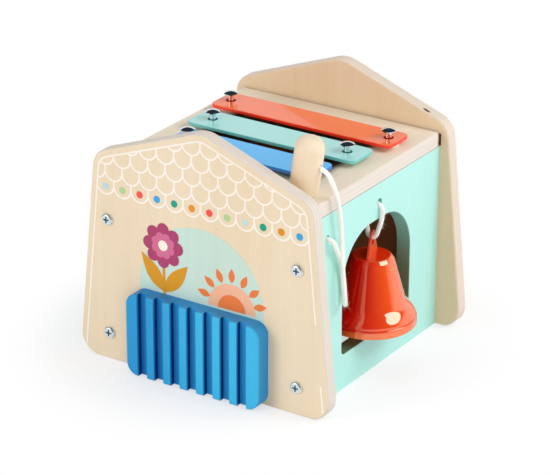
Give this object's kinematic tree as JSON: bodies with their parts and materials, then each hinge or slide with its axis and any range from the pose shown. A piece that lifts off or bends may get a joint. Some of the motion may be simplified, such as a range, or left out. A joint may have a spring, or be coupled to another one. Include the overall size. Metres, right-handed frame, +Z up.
{
  "type": "musical activity house",
  "caption": "Free-standing wooden toy house with metal chime bars on its top board, a ribbed scraper, a bell in an arched opening and a tethered mallet.",
  "frame": {"origin": "middle of the whole object's footprint, on the surface it stands on", "axes": "+X to the right as seen from the front (towards the bell), +Y from the front gable to the back gable, +Z up"},
  "size_m": [0.1987, 0.189, 0.1777],
  "materials": {
    "birch_ply": "satin lacquer",
    "mint_paint": "satin paint",
    "blue_paint": "satin paint",
    "turned_beech": "satin lacquer",
    "coral_enamel": "gloss enamel",
    "mint_enamel": "gloss enamel",
    "blue_enamel": "gloss enamel",
    "bell_enamel": "gloss enamel",
    "chrome_pin": "polished",
    "zinc_screw": "zinc plated",
    "white_felt": "wool felt",
    "cotton_cord": "braided cotton",
    "steel_wire": "drawn wire"
  },
  "bodies": {
    "house": {"front_panel": "birch_ply", "back_panel": "birch_ply", "right_side_panel": "mint_paint", "left_side_panel": "mint_paint", "top_board": "birch_ply", "scraper_block": "blue_paint", "coral_pins": "chrome_pin", "mint_pins": "chrome_pin", "blue_pins": "chrome_pin", "coral_felts": "white_felt", "mint_felts": "white_felt", "blue_felts": "white_felt", "front_screws": "zinc_screw", "back_screws": "zinc_screw", "scraper_screws": "zinc_screw", "board_dowels": "turned_beech", "mallet_cord": "cotton_cord", "mallet_cord_knot": "cotton_cord", "bell_cord_knot": "cotton_cord"},
    "coral_bar": {"coral_bar": "coral_enamel"},
    "mint_bar": {"mint_bar": "mint_enamel"},
    "blue_bar": {"blue_bar": "blue_enamel"},
    "mallet": {"mallet_head": "turned_beech", "mallet_handle": "turned_beech"},
    "bell_hanger": {"bell_cord": "cotton_cord"},
    "bell": {"bell_shell": "bell_enamel", "bell_lug": "bell_enamel"},
    "clapper": {"clapper_stem": "steel_wire", "clapper_ball": "steel_wire"}
  },
  "joints": [
    {"name": "coral_bar_lift", "type": "slide", "parent": "house", "child": "coral_bar", "axis": [0, 0, 1], "range_m": [0, 0.0046]},
    {"name": "mint_bar_lift", "type": "slide", "parent": "house", "child": "mint_bar", "axis": [0, 0, 1], "range_m": [0, 0.0046]},
    {"name": "blue_bar_lift", "type": "slide", "parent": "house", "child": "blue_bar", "axis": [0, 0, 1], "range_m": [0, 0.0046]},
    {"name": "mallet_pull", "type": "slide", "parent": "house", "child": "mallet", "axis": [0.1392, 0, 0.9903], "range_m": [0, 0.09], "deforming": ["mallet_cord"]},
    {"name": "bell_swing", "type": "hinge", "parent": "house", "child": "bell_hanger", "pos_m": [0.0692, 0.00625, 0.1155], "axis": [0, 1, 0], "range_deg": [-30, 30], "deforming": ["bell_cord"]},
    {"name": "bell_rock", "type": "hinge", "parent": "bell_hanger", "child": "bell", "pos_m": [0.0692, 0.00625, 0.0904], "axis": [1, 0, 0], "range_deg": [-8, 8]},
    {"name": "clapper_swing", "type": "hinge", "parent": "bell", "child": "clapper", "pos_m": [0.0692, 0.00625, 0.0739], "axis": [0, 1, 0], "range_deg": [-26, 26]}
  ]
}
